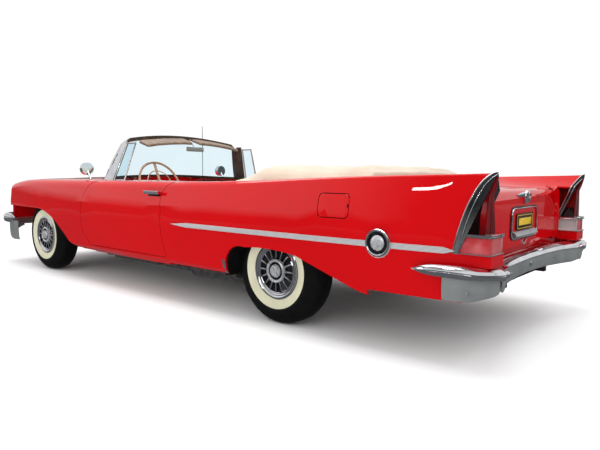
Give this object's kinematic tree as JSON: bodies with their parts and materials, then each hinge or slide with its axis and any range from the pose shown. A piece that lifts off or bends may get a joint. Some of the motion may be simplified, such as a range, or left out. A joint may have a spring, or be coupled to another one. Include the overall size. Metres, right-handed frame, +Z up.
{
  "type": "1950s two-door convertible car",
  "caption": "Full-size two-door convertible with tail fins, its top folded under a cover; wheels roll and steer, doors, hood, trunk and fuel flap open.",
  "frame": {"origin": "on the ground under the middle of the car", "axes": "+X forward, +Y to the car's left, +Z up"},
  "size_m": [5.568, 2.002, 1.56],
  "materials": {
    "red_paint": "high gloss enamel",
    "chrome": "polished plating",
    "glass": "clear",
    "lamp_red": "moulded lens",
    "lamp_clear": "lens",
    "tyre_rubber": "black rubber with a white side wall",
    "frame_black": "satin black enamel",
    "bare_steel": "machined",
    "cast_grey": "cast",
    "seat_leather": "cream leather",
    "visor_vinyl": "taupe vinyl",
    "boot_cloth": "cream coated cloth",
    "dash_black": "padded black",
    "wheel_tan": "moulded rim"
  },
  "bodies": {
    "car_body": {"chassis_frame": "frame_black", "floor_pan": "frame_black", "sills": "red_paint", "cowl": "red_paint", "splash_panels": "frame_black", "rear_wheelhouses": "frame_black", "front_fender_left": "red_paint", "front_fender_right": "red_paint", "nose_panel": "red_paint", "grille": "chrome", "headlamps": "lamp_clear", "rear_quarter_left": "red_paint", "rear_quarter_right": "red_paint", "deck_panel": "red_paint", "tail_panel": "red_paint", "tail_lamp_frames": "chrome", "tail_lamps": "lamp_red", "windshield_frame": "chrome", "windshield_glass": "glass", "sun_visors": "visor_vinyl", "dashboard": "dash_black", "steering_column": "frame_black", "front_seat": "seat_leather", "rear_seat": "seat_leather", "top_boot": "boot_cloth", "quarter_trims": "seat_leather", "front_bumper": "chrome", "rear_bumper": "chrome", "side_spears": "chrome", "mirrors": "chrome", "antenna": "chrome", "engine_block": "cast_grey", "drive_shaft": "bare_steel", "front_suspension": "bare_steel", "rear_axle": "bare_steel", "exhaust": "bare_steel", "fuel_tank": "frame_black", "fuel_filler": "frame_black"},
    "hood_lid": {"hood": "red_paint"},
    "trunk": {"trunk_lid": "red_paint"},
    "fuel_flap": {"fuel_door": "red_paint"},
    "left_door": {"door_left": "red_paint", "door_trim_left": "chrome", "vent_glass_left": "glass"},
    "right_door": {"door_right": "red_paint", "door_trim_right": "chrome", "vent_glass_right": "glass"},
    "wheel_hand": {"steering_wheel": "wheel_tan"},
    "left_steer": {"knuckle_left": "bare_steel"},
    "right_steer": {"knuckle_right": "bare_steel"},
    "front_left_roll": {"wheel_front_left": "chrome", "tyre_front_left": "tyre_rubber"},
    "front_right_roll": {"wheel_front_right": "chrome", "tyre_front_right": "tyre_rubber"},
    "rear_left_roll": {"wheel_rear_left": "chrome", "tyre_rear_left": "tyre_rubber"},
    "rear_right_roll": {"wheel_rear_right": "chrome", "tyre_rear_right": "tyre_rubber"}
  },
  "joints": [
    {"name": "hood_open", "type": "hinge", "parent": "car_body", "child": "hood_lid", "pos_m": [1.205, 0, 0.9645], "axis": [0, -1, 0], "range_deg": [0, 50]},
    {"name": "trunk_open", "type": "hinge", "parent": "car_body", "child": "trunk", "pos_m": [-1.91, 0, 0.9535], "axis": [0, 1, 0], "range_deg": [0, 60]},
    {"name": "fuel_flap_open", "type": "hinge", "parent": "car_body", "child": "fuel_flap", "pos_m": [-1.7205, 0.981, 0.82], "axis": [0, 0, -1], "range_deg": [0, 90]},
    {"name": "door_left_open", "type": "hinge", "parent": "car_body", "child": "left_door", "pos_m": [0.9911, 0.986, 0.62], "axis": [0, 0, -1], "range_deg": [0, 65]},
    {"name": "door_right_open", "type": "hinge", "parent": "car_body", "child": "right_door", "pos_m": [0.9911, -0.986, 0.62], "axis": [0, 0, 1], "range_deg": [0, 65]},
    {"name": "steer_left", "type": "hinge", "parent": "car_body", "child": "left_steer", "pos_m": [1.909, 0.7, 0.361], "axis": [0, 0, 1], "range_deg": [-30, 30]},
    {"name": "steer_right", "type": "hinge", "parent": "car_body", "child": "right_steer", "pos_m": [1.909, -0.7, 0.361], "axis": [0, 0, 1], "range_deg": [-30, 30]},
    {"name": "steering_wheel_turn", "type": "hinge", "parent": "car_body", "child": "wheel_hand", "pos_m": [0.62, 0.38, 0.905], "axis": [-0.9063, 0, 0.4226], "range_deg": [-480, 480]},
    {"name": "roll_front_left", "type": "hinge", "parent": "left_steer", "child": "front_left_roll", "pos_m": [1.909, 0.777, 0.361], "axis": [0, 1, 0], "continuous": true},
    {"name": "roll_front_right", "type": "hinge", "parent": "right_steer", "child": "front_right_roll", "pos_m": [1.909, -0.777, 0.361], "axis": [0, 1, 0], "continuous": true},
    {"name": "roll_rear_left", "type": "hinge", "parent": "car_body", "child": "rear_left_roll", "pos_m": [-1.291, 0.762, 0.361], "axis": [0, 1, 0], "continuous": true},
    {"name": "roll_rear_right", "type": "hinge", "parent": "car_body", "child": "rear_right_roll", "pos_m": [-1.291, -0.762, 0.361], "axis": [0, 1, 0], "continuous": true}
  ],
  "couplings": [
    {"joint": "steer_right", "follows": "steer_left", "ratio": 1},
    {"joint": "steering_wheel_turn", "follows": "steer_left", "ratio": 16}
  ]
}
